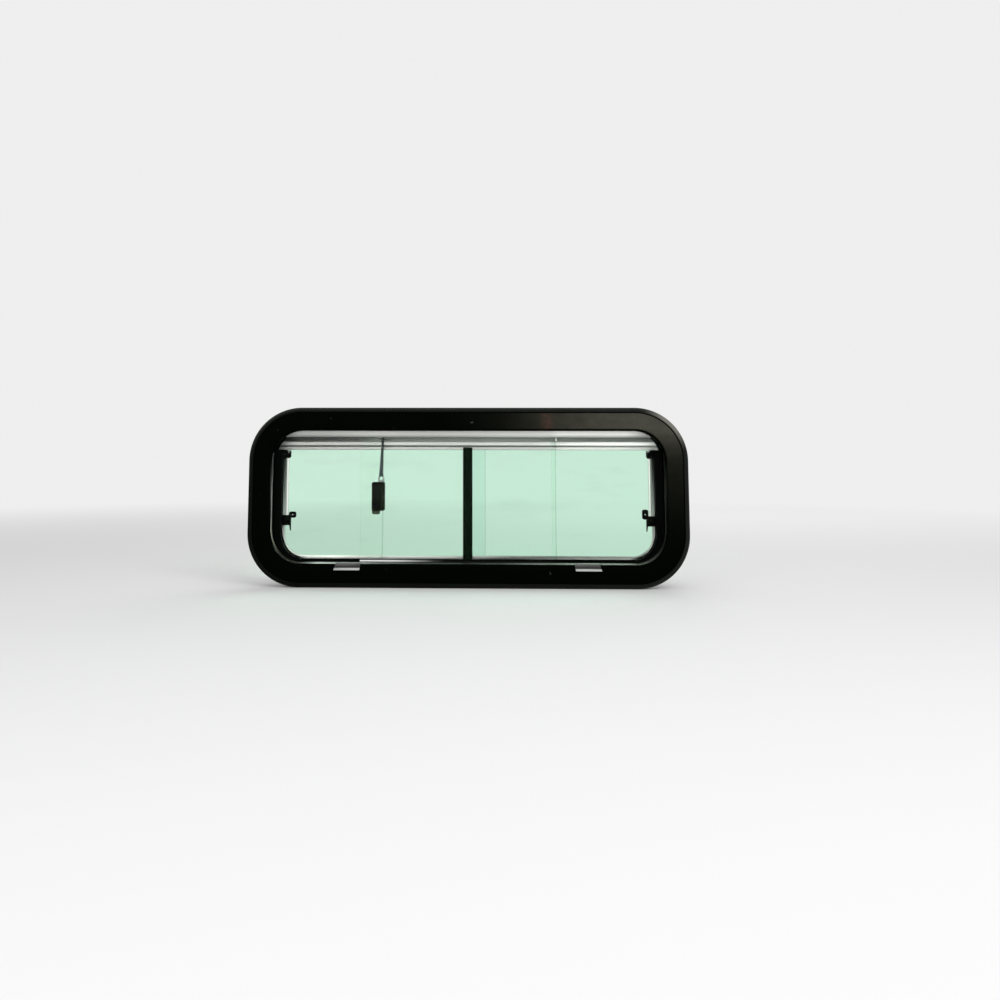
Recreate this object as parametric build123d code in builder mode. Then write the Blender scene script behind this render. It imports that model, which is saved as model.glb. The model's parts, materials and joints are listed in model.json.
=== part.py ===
from build123d import *
import os

# Sliding window of a camper side door: a black flanged frame, three front panes, and a screen
# of two inner panes behind them. X runs to the right as seen from outside, Y runs into the
# vehicle and Z up. The origin is on the back face of the flange, in the middle of its bottom run.

# Frame and opening
opening_width = 686.0
opening_height = 230.0
opening_radius = 52.0
flange_width = 31.0
flange_thickness = 4.0
flange_inner_chamfer = 1.8
flange_outer_chamfer = 0.7
reveal_wall = 2.5
reveal_depth = 60.0
reveal_seat = 1.2
fit = 0.25

# Screw port: a slot round the frame, open to the inside of the vehicle
port_offset = 5.3
port_wall = 1.6
port_slot = 3.0
port_start = 4.0
port_end = 26.0

# Rubber rim round the flange, and foam gasket in the flange's back
rim_width = 9.0
rim_foot = 0.9
rim_crown = 4.3
rim_crown_width = 2.2
gasket_inset = 18.0
gasket_width = 9.0
gasket_depth = 1.6

# Bright liner round the lower part of the reveal
liner_wall = 0.8
liner_start = -1.0
liner_end = 20.5
liner_drop = 39.0

# Black channel that the front panes run in or lie against
channel_start = 22.0
channel_side = 13.8
channel_sill = 5.7
channel_radius = 43.0
channel_lip = 1.2
groove_floor = 0.9
groove_end = 50.0
front_lip_rise = 0.9

# Glass
glass = 4.0
inner_glass = 3.0
pane_gap = 0.3
pane_inset = 1.5
left_pane_edge = -149.7
right_pane_edge = 148.9
sliding_left = -189.1
sliding_right = 155.8
shoe_wall = 1.0
shoe_height = 4.6

# Head profiles, given as drops from the head of the opening
rail_gap = 0.4
head_rail_drop = 11.4
head_rail_start = 13.5
head_rail_depth = 8.2
head_rail_round = 3.0
middle_rail_drop = 18.9
middle_rail_height = 7.2
middle_rail_start = 37.0
middle_rail_round = 1.5
head_web_start = 46.0
head_roof = 4.5
lower_rail_drop = 27.7
lower_rail_height = 6.2
lower_rail_start = 44.3
lower_rail_round = 1.0
lower_rail_leg = 3.0
head_end = 50.0

# Inner frame, silver rim and mullion
inner_frame_side = 10.2
inner_frame_sill = 4.65
inner_frame_radius = 45.5
inner_frame_end = 58.0
rim_start = 42.0
rim_end = 50.0
rim_side = 5.8
rim_sill = 5.1
rim_inner_radius = 35.0
mullion_width = 16.8
mullion_start = 38.0
mullion_drop = 29.3
mullion_round = 2.0
mullion_web_width = 10.0
inner_overlap_left = 31.8
inner_overlap_right = -7.5
inner_pane_lap = 3.0
bead_thickness = 3.0
bead_side = 4.2
bead_sill = 3.6

# Latch on the edge of the left pane
latch_width = 20.9
latch_height = 50.4
latch_offset = 0.9
latch_depth = 7.0
latch_corner = 3.0
latch_edge_wall = 2.0
latch_front_lip = 1.1
latch_lip_reach = 7.5
lever_width = 14.2
lever_height = 40.8
lever_overhang = 6.7
lever_thickness = 3.0
loop_width = 11.1
loop_height = 12.0
loop_hole_width = 5.0
loop_hole_height = 6.4
loop_thickness = 3.0
loop_offset = 4.5
strap_sheet = 1.2
strap_foot = 7.0
strap_tip = 2.3
strap_lean = 2.7
strap_hook = 2.4

# Side stays, measured from the sides, the head and the sill of the opening
stay_inset = 20.9
stay_y = 39.2
tube_radius = 2.4
socket = 3.0
cap_inset = 26.0
cap_drop = 35.2
cap_height = 13.6
cap_slope = 3.0
clamp_inset = 28.0
clamp_rise = 63.0
clamp_height = 17.8
clamp_corner = 1.5
stay_side_gap = 0.4
stay_depth = 5.8
knob_lap = 3.5
knob_thickness = 4.2
knob_hole = 1.1
knob_corner = 3.6
left_knob_width = 12.9
left_knob_height = 10.7
left_knob_sink = 4.7
right_knob_width = 10.8
right_knob_height = 17.3
right_knob_sink = 5.9
tail_width = 2.6
tail_tip = 0.9
tail_length = 9.5

# Drip hoods under the opening
hood_inner = 184.0
hood_outer = 227.5
hood_lean_inner = 2.0
hood_lean_outer = 3.4
hood_sheet = 1.2
hood_tongue = 9.0
hood_drop = 5.8
hood_lip_drop = 5.4
hood_lip_reach = 5.2

# Clamping ring on the inside of the wall
wall_thickness = 28.0
clamp_ring_width = 30.0
clamp_ring_plate = 2.6
clamp_ring_bevel = 1.2
collar_wall = 1.6
collar_depth = 14.0
screw_hole = 2.0
screw_columns = 5
screw_margin = 30.0

# Places worked out from the sizes above
half_width = opening_width / 2
half_height = opening_height / 2
port_outer = port_offset + port_slot + 2 * port_wall
centre_z = half_height + (port_outer + gasket_inset) / 2
sliding_front = channel_start + channel_lip + pane_gap + shoe_wall
sliding_back = sliding_front + glass
fixed_front = sliding_back + shoe_wall + pane_gap + channel_lip
fixed_back = fixed_front + glass
inner_frame_start = fixed_back
groove_sill = -half_height + fit + groove_floor
left_inner_front = rim_end
left_inner_back = left_inner_front + inner_glass
right_inner_front = left_inner_back + pane_gap
right_inner_back = right_inner_front + inner_glass
clamp_ring_back = wall_thickness + clamp_ring_plate
head_rail_bottom = half_height - head_rail_drop
middle_rail_top = half_height - middle_rail_drop
middle_rail_bottom = middle_rail_top - middle_rail_height
lower_rail_top = half_height - lower_rail_drop
lower_rail_bottom = lower_rail_top - lower_rail_height
rim_outer_side = inner_frame_side + fit
rim_outer_sill = inner_frame_sill + fit
rim_radius = inner_frame_radius - fit
rim_inner_side = rim_outer_side + rim_side
rim_inner_sill = rim_outer_sill + rim_sill
stay_x = half_width - stay_inset
stay_outer = half_width - inner_frame_side - stay_side_gap
cap_inner = half_width - cap_inset
cap_top = half_height - cap_drop
cap_bottom = cap_top - cap_height
clamp_inner = half_width - clamp_inset
clamp_bottom = -half_height + clamp_rise
clamp_top = clamp_bottom + clamp_height
screw_offset = port_offset + port_wall + port_slot / 2

def wall_plane(depth):
    """Plane parallel to the wall, seen from outside, at this depth from the flange's back."""
    return Plane(origin=(0, depth, centre_z), x_dir=(1, 0, 0), z_dir=(0, -1, 0))


def section_plane(x=0):
    """Plane across the window's width: local x is the depth, local y the height."""
    return Plane(origin=(x, 0, centre_z), x_dir=(0, 1, 0), z_dir=(1, 0, 0))


def opening_outline(inset, mode=Mode.ADD):
    """The opening's outline, this far inside its edge, or outside it where negative."""
    return RectangleRounded(
        opening_width - 2 * inset, opening_height - 2 * inset, opening_radius - inset, mode=mode
    )


def inset_outline(side, sill, radius, mode=Mode.ADD):
    """A rounded outline with its own distances from the opening's sides and sill."""
    return RectangleRounded(
        opening_width - 2 * side, opening_height - 2 * sill, radius, mode=mode
    )


def below(height, mode):
    """Everything in a wall plane below this height over the opening's middle."""
    with Locations((0, height - opening_height / 2)):
        Rectangle(opening_width, opening_height, mode=mode)


def beside(edge, side, mode):
    """Everything in a wall plane on one side of an upright line, -1 for left and 1 for right."""
    with Locations((edge + side * half_width, 0)):
        Rectangle(opening_width, opening_height, mode=mode)


def screw_places():
    """Where the clamping screws stand round the reveal."""
    run = opening_width - 2 * (opening_radius + screw_margin)
    row = [(column / (screw_columns - 1) - 1 / 2) * run for column in range(screw_columns)]
    head_and_sill = [(x, side * (half_height + screw_offset)) for side in (-1, 1) for x in row]
    return head_and_sill + [(side * (half_width + screw_offset), 0) for side in (-1, 1)]


def save(piece, label):
    """Name a finished piece and write its file."""
    piece.part.label = label
    export_step(piece.part, f"parts/{label}.step")


os.makedirs("parts", exist_ok=True)

# Outer frame: the flange that lies on the outside of the wall, with a step for the reveal
with BuildPart() as outer_frame:
    with BuildSketch(wall_plane(0)):
        opening_outline(-flange_width)
        opening_outline(0, Mode.SUBTRACT)
    extrude(amount=flange_thickness)
    front = outer_frame.faces().sort_by(Axis.Y)[0]
    chamfer(front.outer_wire().edges(), flange_outer_chamfer)
    front = outer_frame.faces().sort_by(Axis.Y)[0]
    chamfer(front.inner_wires()[0].edges(), flange_inner_chamfer)
    with BuildSketch(wall_plane(0)):
        opening_outline(-gasket_inset - gasket_width)
        opening_outline(-gasket_inset, Mode.SUBTRACT)
    extrude(amount=gasket_depth, mode=Mode.SUBTRACT)
    with BuildSketch(wall_plane(0)):
        opening_outline(-reveal_wall)
    extrude(amount=reveal_seat, mode=Mode.SUBTRACT)
save(outer_frame, "outer_frame")

# Reveal from that step through the wall and past it, with the screw port round it
with BuildPart() as frame_reveal:
    with BuildSketch(wall_plane(-reveal_seat)):
        opening_outline(-reveal_wall)
        opening_outline(0, Mode.SUBTRACT)
    extrude(amount=-reveal_seat - reveal_depth)
    with BuildSketch(wall_plane(port_start)):
        opening_outline(-port_outer)
        opening_outline(0, Mode.SUBTRACT)
    extrude(amount=port_wall)
    with BuildSketch(wall_plane(port_end)):
        opening_outline(-port_outer)
        opening_outline(-port_outer + port_wall, Mode.SUBTRACT)
        opening_outline(-port_offset - port_wall)
        opening_outline(-port_offset, Mode.SUBTRACT)
    extrude(amount=port_end - port_start)
save(frame_reveal, "frame_reveal")

# Foam gasket, flush with the flange's back
with BuildPart() as wall_gasket:
    with BuildSketch(wall_plane(0)):
        opening_outline(-gasket_inset - gasket_width + fit)
        opening_outline(-gasket_inset - fit, Mode.SUBTRACT)
    extrude(amount=gasket_depth)
save(wall_gasket, "wall_gasket")

# Rubber rim: a foot, and a bevel up to a narrow crown beside the flange
with BuildPart() as rim_seal:
    with BuildSketch(wall_plane(0)):
        opening_outline(-flange_width - rim_width)
    extrude(amount=rim_foot)
    with BuildSketch(wall_plane(-rim_foot)):
        opening_outline(-flange_width - rim_width)
    with BuildSketch(wall_plane(-rim_crown)):
        opening_outline(-flange_width - rim_crown_width)
    loft(ruled=True)
    with BuildSketch(wall_plane(0)):
        opening_outline(-flange_width - fit)
    extrude(amount=rim_crown, mode=Mode.SUBTRACT)
save(rim_seal, "rim_seal")

# Bright liner: a strip along the sill and up both sides of the reveal
with BuildPart() as sill_liner:
    with BuildSketch(wall_plane(liner_end)):
        opening_outline(fit)
        opening_outline(fit + liner_wall, Mode.SUBTRACT)
        below(half_height - liner_drop, Mode.INTERSECT)
    extrude(amount=liner_end - liner_start)
save(sill_liner, "sill_liner")

# Glazing channel along the sill and sides: a groove for the sliding pane, with a low front lip,
# and a flat back that the fixed panes lie against. The head channel above it is a piece apart
groove_half = half_width - groove_end
with BuildPart() as glazing_channel:
    front_lip_top = groove_sill + front_lip_rise
    with BuildSketch(wall_plane(fixed_front)):
        opening_outline(fit)
        inset_outline(channel_side, channel_sill, channel_radius, Mode.SUBTRACT)
        below(lower_rail_bottom, Mode.INTERSECT)
    extrude(amount=fixed_front - channel_start)
    with BuildSketch(wall_plane(fixed_front - channel_lip)):
        Rectangle(2 * groove_half, -2 * groove_sill)
    extrude(amount=fixed_front - channel_start - 2 * channel_lip, mode=Mode.SUBTRACT)
    with BuildSketch(wall_plane(channel_start + channel_lip)):
        with Locations((0, front_lip_top / 2)):
            Rectangle(2 * groove_half, -front_lip_top)
    extrude(amount=channel_lip, mode=Mode.SUBTRACT)
save(glazing_channel, "glazing_channel")

with BuildPart() as head_channel:
    with BuildSketch(wall_plane(fixed_front)):
        opening_outline(fit)
        inset_outline(channel_side, channel_sill, channel_radius, Mode.SUBTRACT)
        below(head_rail_bottom, Mode.SUBTRACT)
    extrude(amount=fixed_front - channel_start)
    with BuildSketch(wall_plane(fixed_front - channel_lip)):
        Rectangle(2 * groove_half, -2 * groove_sill)
    extrude(amount=fixed_front - channel_start - 2 * channel_lip, mode=Mode.SUBTRACT)
save(head_channel, "head_channel")

# Fixed panes at the left and right, and the sliding pane in front of them
with BuildPart() as left_fixed_pane:
    with BuildSketch(wall_plane(fixed_back)):
        opening_outline(pane_inset)
        beside(left_pane_edge, 1, Mode.SUBTRACT)
    extrude(amount=glass)
save(left_fixed_pane, "left_fixed_pane")

with BuildPart() as right_fixed_pane:
    with BuildSketch(wall_plane(fixed_back)):
        opening_outline(pane_inset)
        beside(right_pane_edge, -1, Mode.SUBTRACT)
    extrude(amount=glass)
save(right_fixed_pane, "right_fixed_pane")

with BuildPart() as sliding_pane:
    pane_sill = groove_sill + fit + shoe_wall
    pane_head = -groove_sill - pane_gap
    with BuildSketch(wall_plane(sliding_back)):
        with Locations(((sliding_left + sliding_right) / 2, (pane_sill + pane_head) / 2)):
            Rectangle(sliding_right - sliding_left, pane_head - pane_sill)
    extrude(amount=glass)
save(sliding_pane, "sliding_pane")

# Bright shoe that the sliding pane stands in, running in the groove of the sill
with BuildPart() as sliding_shoe:
    shoe_sill = groove_sill + fit
    shoe_top = shoe_sill + shoe_height
    with BuildSketch(section_plane(sliding_left)):
        with BuildLine():
            Polyline(
                (sliding_front - shoe_wall, shoe_sill),
                (sliding_back + shoe_wall, shoe_sill),
                (sliding_back + shoe_wall, shoe_top),
                (sliding_back, shoe_top),
                (sliding_back, pane_sill),
                (sliding_front, pane_sill),
                (sliding_front, shoe_top),
                (sliding_front - shoe_wall, shoe_top),
                close=True,
            )
        make_face()
    extrude(amount=sliding_right - sliding_left)
save(sliding_shoe, "sliding_shoe")

# Head rail in front of the panes
with BuildPart() as head_rail:
    with BuildSketch(section_plane()):
        with BuildLine():
            Polyline(
                (head_rail_start, head_rail_bottom),
                (head_rail_start, half_height - rail_gap),
                (head_rail_start + head_rail_depth, half_height - rail_gap),
                (head_rail_start + head_rail_depth, head_rail_bottom),
                close=True,
            )
        make_face()
    extrude(amount=half_width, both=True)
    corner = head_rail.edges().filter_by(Axis.X).group_by(Axis.Z)[0].sort_by(Axis.Y)[0]
    fillet(corner, head_rail_round)
    with BuildSketch(wall_plane(channel_start)):
        opening_outline(rail_gap)
    extrude(amount=channel_start, mode=Mode.INTERSECT)
save(head_rail, "head_rail")

# Head web: a roof over the panes and a recessed wall behind them
with BuildPart() as head_web:
    with BuildSketch(section_plane()):
        with BuildLine():
            Polyline(
                (inner_frame_start, half_height - rail_gap),
                (head_end, half_height - rail_gap),
                (head_end, middle_rail_top),
                (head_web_start, middle_rail_top),
                (head_web_start, half_height - rail_gap - head_roof),
                (inner_frame_start, half_height - rail_gap - head_roof),
                close=True,
            )
        make_face()
    extrude(amount=half_width, both=True)
    with BuildSketch(wall_plane(head_end)):
        opening_outline(rail_gap)
    extrude(amount=head_end, mode=Mode.INTERSECT)
save(head_web, "head_web")

# Middle rail, with a rounded nose
with BuildPart() as middle_rail:
    with BuildSketch(section_plane()):
        with Locations(((middle_rail_start + head_end) / 2, (middle_rail_bottom + middle_rail_top) / 2)):
            Rectangle(head_end - middle_rail_start, middle_rail_height)
    extrude(amount=half_width, both=True)
    nose = middle_rail.edges().filter_by(Axis.X).group_by(Axis.Y)[0]
    fillet(nose, middle_rail_round)
    with BuildSketch(wall_plane(head_end)):
        opening_outline(rail_gap)
    extrude(amount=head_end, mode=Mode.INTERSECT)
save(middle_rail, "middle_rail")

# Lower rail, joined to the middle one by a thin leg that leaves a groove in front
with BuildPart() as lower_rail:
    with BuildSketch(section_plane()):
        with BuildLine():
            Polyline(
                (lower_rail_start, lower_rail_bottom),
                (lower_rail_start, lower_rail_top),
                (head_end - lower_rail_leg, lower_rail_top),
                (head_end - lower_rail_leg, middle_rail_bottom),
                (head_end, middle_rail_bottom),
                (head_end, lower_rail_bottom),
                close=True,
            )
        make_face()
    extrude(amount=half_width, both=True)
    nose = lower_rail.edges().filter_by(Axis.X).group_by(Axis.Y)[0]
    fillet(nose, lower_rail_round)
    with BuildSketch(wall_plane(head_end)):
        opening_outline(rail_gap)
    extrude(amount=head_end, mode=Mode.INTERSECT)
save(lower_rail, "lower_rail")

# Inner frame: a black wall along the sill and sides, with the head profiles on top
with BuildPart() as inner_frame:
    with BuildSketch(wall_plane(inner_frame_end)):
        opening_outline(fit)
        inset_outline(inner_frame_side, inner_frame_sill, inner_frame_radius, Mode.SUBTRACT)
        below(lower_rail_bottom, Mode.INTERSECT)
    extrude(amount=inner_frame_end - inner_frame_start)
save(inner_frame, "inner_frame")

# Silver rim inside the inner frame, deeper on the right, where the rear pane runs
with BuildPart() as inner_rim:
    with BuildSketch(wall_plane(rim_end)):
        inset_outline(rim_outer_side, rim_outer_sill, rim_radius)
        inset_outline(rim_inner_side, rim_inner_sill, rim_inner_radius, Mode.SUBTRACT)
        below(lower_rail_bottom, Mode.INTERSECT)
    extrude(amount=rim_end - rim_start)
    with BuildSketch(wall_plane(right_inner_front)):
        inset_outline(rim_outer_side, rim_outer_sill, rim_radius)
        inset_outline(rim_inner_side, rim_inner_sill, rim_inner_radius, Mode.SUBTRACT)
        below(lower_rail_bottom, Mode.INTERSECT)
        beside(inner_overlap_left + pane_gap, -1, Mode.SUBTRACT)
    extrude(amount=right_inner_front - rim_end)
save(inner_rim, "inner_rim")

# Centre mullion: a rounded bar in front of the rim, with a web back to the inner panes
with BuildPart() as centre_mullion:
    mullion_top = half_height - mullion_drop
    rim_bottom = -half_height + rim_outer_sill
    web_bottom = -half_height + rim_inner_sill
    with BuildSketch(wall_plane(rim_start)):
        with Locations((0, (mullion_top + rim_bottom) / 2)):
            Rectangle(mullion_width, mullion_top - rim_bottom)
    extrude(amount=rim_start - mullion_start)
    fillet(centre_mullion.edges().filter_by(Axis.Z).group_by(Axis.Y)[0], mullion_round)
    with BuildSketch(wall_plane(rim_end)):
        with Locations((0, (lower_rail_bottom + web_bottom) / 2)):
            Rectangle(mullion_web_width, lower_rail_bottom - web_bottom)
    extrude(amount=rim_end - rim_start)
save(centre_mullion, "centre_mullion")

# Inner panes behind the rim, one behind the other where they overlap
inner_pane_top = lower_rail_bottom + inner_pane_lap
with BuildPart() as inner_left_pane:
    with BuildSketch(wall_plane(left_inner_back)):
        inset_outline(rim_outer_side, rim_outer_sill, rim_radius)
        below(inner_pane_top, Mode.INTERSECT)
        beside(inner_overlap_left, 1, Mode.SUBTRACT)
    extrude(amount=inner_glass)
save(inner_left_pane, "inner_left_pane")

with BuildPart() as inner_right_pane:
    with BuildSketch(wall_plane(right_inner_back)):
        inset_outline(rim_outer_side, rim_outer_sill, rim_radius)
        below(inner_pane_top, Mode.INTERSECT)
        beside(inner_overlap_right, -1, Mode.SUBTRACT)
    extrude(amount=inner_glass)
save(inner_right_pane, "inner_right_pane")

# Black bead that closes the inner panes in from behind, all the way round
with BuildPart() as inner_bead:
    bead_outline = (rim_outer_side, rim_outer_sill, rim_radius)
    bead_radius = rim_inner_radius + rim_side - bead_side
    bead_opening = (rim_outer_side + bead_side, rim_outer_sill + bead_sill, bead_radius)
    bead_top = inner_pane_top + bead_sill
    with BuildSketch(wall_plane(right_inner_back + bead_thickness)):
        inset_outline(*bead_outline)
        below(bead_top, Mode.INTERSECT)
        with BuildSketch(mode=Mode.SUBTRACT):
            inset_outline(*bead_opening)
            below(lower_rail_bottom, Mode.INTERSECT)
    extrude(amount=bead_thickness)
    with BuildSketch(wall_plane(right_inner_back)):
        inset_outline(*bead_outline)
        below(inner_pane_top, Mode.INTERSECT)
        with BuildSketch(mode=Mode.SUBTRACT):
            inset_outline(*bead_opening)
            below(lower_rail_bottom, Mode.INTERSECT)
        beside(inner_overlap_right - pane_gap, 1, Mode.SUBTRACT)
    extrude(amount=right_inner_back - left_inner_back)
    with BuildSketch(wall_plane(right_inner_back)):
        inset_outline(*bead_outline)
        below(bead_top, Mode.INTERSECT)
        below(inner_pane_top + fit, Mode.SUBTRACT)
    extrude(amount=right_inner_back - head_end)
save(inner_bead, "inner_bead")

# Latch: a clip over the edge of the left pane, its lever and its pull loop
with BuildPart() as latch_clip:
    clip_edge = left_pane_edge + pane_gap + latch_edge_wall
    clip_left = left_pane_edge - latch_width
    latch_top = latch_height / 2 - latch_offset
    latch_bottom = latch_top - latch_height
    with BuildSketch(wall_plane(fixed_back + latch_depth)):
        with Locations(((clip_left + clip_edge) / 2, -latch_offset)):
            RectangleRounded(clip_edge - clip_left, latch_height, latch_corner)
    extrude(amount=latch_depth)
    with BuildSketch(wall_plane(fixed_back)):
        with Locations((clip_edge - latch_edge_wall / 2, -latch_offset)):
            Rectangle(latch_edge_wall, latch_height - 2 * latch_corner)
    extrude(amount=glass + pane_gap + latch_front_lip)
    with BuildSketch(wall_plane(fixed_front - pane_gap)):
        with Locations((clip_edge - latch_lip_reach / 2, -latch_offset)):
            Rectangle(latch_lip_reach, latch_height - 2 * latch_corner)
    extrude(amount=latch_front_lip)
save(latch_clip, "latch_clip")

with BuildPart() as latch_lever:
    lever_middle = latch_bottom - lever_overhang + lever_height / 2
    with BuildSketch(wall_plane(fixed_back + latch_depth + lever_thickness)):
        with Locations((clip_left + lever_width / 2, lever_middle)):
            RectangleRounded(lever_width, lever_height, latch_corner)
    extrude(amount=lever_thickness)
save(latch_lever, "latch_lever")

with BuildPart() as latch_loop:
    loop_x = clip_edge - loop_offset - loop_hole_width / 2
    loop_shoulder = latch_top + loop_height - loop_width / 2
    with BuildSketch(wall_plane(fixed_back + latch_depth)):
        with Locations((loop_x, (latch_top + loop_shoulder) / 2)):
            Rectangle(loop_width, loop_shoulder - latch_top)
        with Locations((loop_x, loop_shoulder)):
            Circle(loop_width / 2)
            RectangleRounded(
                loop_hole_width, loop_hole_height, loop_hole_width / 2 - fit, mode=Mode.SUBTRACT
            )
    extrude(amount=loop_thickness)
save(latch_loop, "latch_loop")

# Pull strap: hooked over the loop's top, it narrows up to the roof of the head web
with BuildPart() as latch_strap:
    loop_top = latch_top + loop_height
    loop_back = fixed_back + latch_depth
    loop_front = loop_back - loop_thickness
    strap_front = fixed_back + fit
    strap_back = strap_front + strap_sheet
    strap_top = half_height - rail_gap - head_roof - pane_gap
    hook_bottom = loop_top - strap_hook
    hook_seat = loop_top + pane_gap
    with BuildSketch(wall_plane(strap_back)):
        with BuildLine():
            Polyline(
                (loop_x - strap_foot / 2, loop_top),
                (loop_x + strap_foot / 2, loop_top),
                (loop_x + strap_lean + strap_tip / 2, strap_top),
                (loop_x + strap_lean - strap_tip / 2, strap_top),
                close=True,
            )
        make_face()
    extrude(amount=strap_sheet)
    with BuildSketch(section_plane(loop_x)):
        with BuildLine():
            Polyline(
                (strap_front, hook_bottom),
                (loop_front - pane_gap, hook_bottom),
                (loop_front - pane_gap, hook_seat),
                (loop_back + pane_gap, hook_seat),
                (loop_back + pane_gap, hook_bottom),
                (loop_back + pane_gap + strap_sheet, hook_bottom),
                (loop_back + pane_gap + strap_sheet, hook_seat + strap_sheet),
                (strap_front, hook_seat + strap_sheet),
                close=True,
            )
        make_face()
    extrude(amount=strap_foot / 2, both=True)
save(latch_strap, "latch_strap")

# Side stays: cap, tube, clamp and knob, mirrored from left to right. The left knob lies and the
# right one stands
for side, name, knob_width, knob_height, knob_sink in (
    (-1, "left", left_knob_width, left_knob_height, left_knob_sink),
    (1, "right", right_knob_width, right_knob_height, right_knob_sink),
):
    tube_bottom = clamp_top - socket
    tube_top = cap_bottom + socket
    knob_place = (
        side * (clamp_inner + knob_lap - knob_width / 2), clamp_top - knob_sink + knob_height / 2
    )
    with BuildPart() as stay_tube:
        with BuildSketch(Plane.XY.offset(centre_z + tube_bottom)):
            with Locations((side * stay_x, stay_y)):
                Circle(tube_radius)
        extrude(amount=tube_top - tube_bottom)
    save(stay_tube, f"{name}_stay_tube")

    with BuildPart() as stay_cap:
        with BuildSketch(wall_plane(rim_start)):
            with BuildLine():
                Polyline(
                    (side * cap_inner, cap_top),
                    (side * stay_outer, cap_top),
                    (side * stay_outer, cap_bottom),
                    (side * (stay_x - tube_radius - fit), cap_bottom),
                    (side * cap_inner, cap_bottom + cap_slope),
                    close=True,
                )
            make_face()
            inset_outline(
                inner_frame_side + stay_side_gap, inner_frame_sill + stay_side_gap,
                inner_frame_radius - stay_side_gap, Mode.INTERSECT,
            )
        extrude(amount=stay_depth)
        with BuildSketch(Plane.XY.offset(centre_z + cap_bottom)):
            with Locations((side * stay_x, stay_y)):
                Circle(tube_radius + fit)
        extrude(amount=socket, mode=Mode.SUBTRACT)
    save(stay_cap, f"{name}_stay_cap")

    with BuildPart() as stay_clamp:
        clamp_middle = side * (clamp_inner + stay_outer) / 2
        with BuildSketch(wall_plane(rim_start)):
            with Locations((clamp_middle, (clamp_bottom + clamp_top) / 2)):
                RectangleRounded(stay_outer - clamp_inner, clamp_height, clamp_corner)
            with BuildLine():
                Polyline(
                    (side * clamp_inner, clamp_bottom + clamp_corner),
                    (side * (clamp_inner + tail_width), clamp_bottom + clamp_corner),
                    (side * (clamp_inner + tail_tip), clamp_bottom - tail_length),
                    (side * clamp_inner, clamp_bottom - tail_length),
                    close=True,
                )
            make_face()
        extrude(amount=stay_depth)
        with BuildSketch(Plane.XY.offset(centre_z + clamp_top)):
            with Locations((side * stay_x, stay_y)):
                Circle(tube_radius + fit)
        extrude(amount=-socket, mode=Mode.SUBTRACT)
        with BuildSketch(wall_plane(rim_start)):
            with Locations(knob_place):
                RectangleRounded(knob_width + 2 * fit, knob_height + 2 * fit, knob_corner + fit)
        extrude(amount=stay_depth, mode=Mode.SUBTRACT)
    save(stay_clamp, f"{name}_stay_clamp")

    with BuildPart() as stay_knob:
        with BuildSketch(wall_plane(rim_start - (stay_depth - knob_thickness) / 2)):
            with Locations(knob_place):
                RectangleRounded(knob_width, knob_height, knob_corner)
                Circle(knob_hole, mode=Mode.SUBTRACT)
        extrude(amount=knob_thickness)
    save(stay_knob, f"{name}_stay_knob")

# Drip hoods: a tongue on the sill liner, a drop over the flange and a flared lip
hood_floor = -half_height + fit + liner_wall + fit
hood_low = hood_floor - hood_drop - hood_lip_drop
hood_back = -flange_thickness - fit
for side, name in ((-1, "left"), (1, "right")):
    with BuildPart() as drip_hood:
        with BuildSketch(section_plane()):
            with BuildLine():
                Polyline(
                    (hood_back + hood_tongue, hood_floor),
                    (hood_back, hood_floor),
                    (hood_back, hood_floor - hood_drop - hood_sheet),
                    (hood_back - hood_lip_reach, hood_low),
                    (hood_back - hood_lip_reach - hood_sheet, hood_low + hood_sheet),
                    (hood_back - hood_sheet, hood_floor - hood_drop),
                    (hood_back - hood_sheet, hood_floor + hood_sheet),
                    (hood_back + hood_tongue, hood_floor + hood_sheet),
                    close=True,
                )
            make_face()
        extrude(amount=half_width, both=True)
        with BuildSketch(wall_plane(reveal_depth)):
            with BuildLine():
                Polyline(
                    (side * hood_inner, hood_floor + hood_sheet),
                    (side * hood_outer, hood_floor + hood_sheet),
                    (side * (hood_outer + hood_lean_outer), hood_low),
                    (side * (hood_inner + hood_lean_inner), hood_low),
                    close=True,
                )
            make_face()
        extrude(amount=2 * reveal_depth, mode=Mode.INTERSECT)
    save(drip_hood, f"{name}_drip_hood")

# Clamping ring against the inside of the wall, with its screw holes
with BuildPart() as clamp_ring:
    with BuildSketch(wall_plane(clamp_ring_back)):
        opening_outline(-reveal_wall - clamp_ring_width)
        opening_outline(-reveal_wall - fit, Mode.SUBTRACT)
    extrude(amount=clamp_ring_plate)
    back = clamp_ring.faces().sort_by(Axis.Y)[-1]
    chamfer(back.outer_wire().edges(), clamp_ring_bevel)
    with BuildSketch(wall_plane(clamp_ring_back)):
        with Locations(*screw_places()):
            Circle(screw_hole)
    extrude(amount=clamp_ring_plate, mode=Mode.SUBTRACT)
save(clamp_ring, "clamp_ring")

# Collar behind the clamping ring, round the reveal
with BuildPart() as clamp_collar:
    with BuildSketch(wall_plane(clamp_ring_back)):
        opening_outline(-reveal_wall - fit - collar_wall)
        opening_outline(-reveal_wall - fit, Mode.SUBTRACT)
    extrude(amount=-collar_depth)
save(clamp_collar, "clamp_collar")
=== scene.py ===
import json
import math

import bpy
from bpy.props import FloatProperty, FloatVectorProperty, IntProperty, PointerProperty
from mathutils import Matrix, Vector

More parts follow.
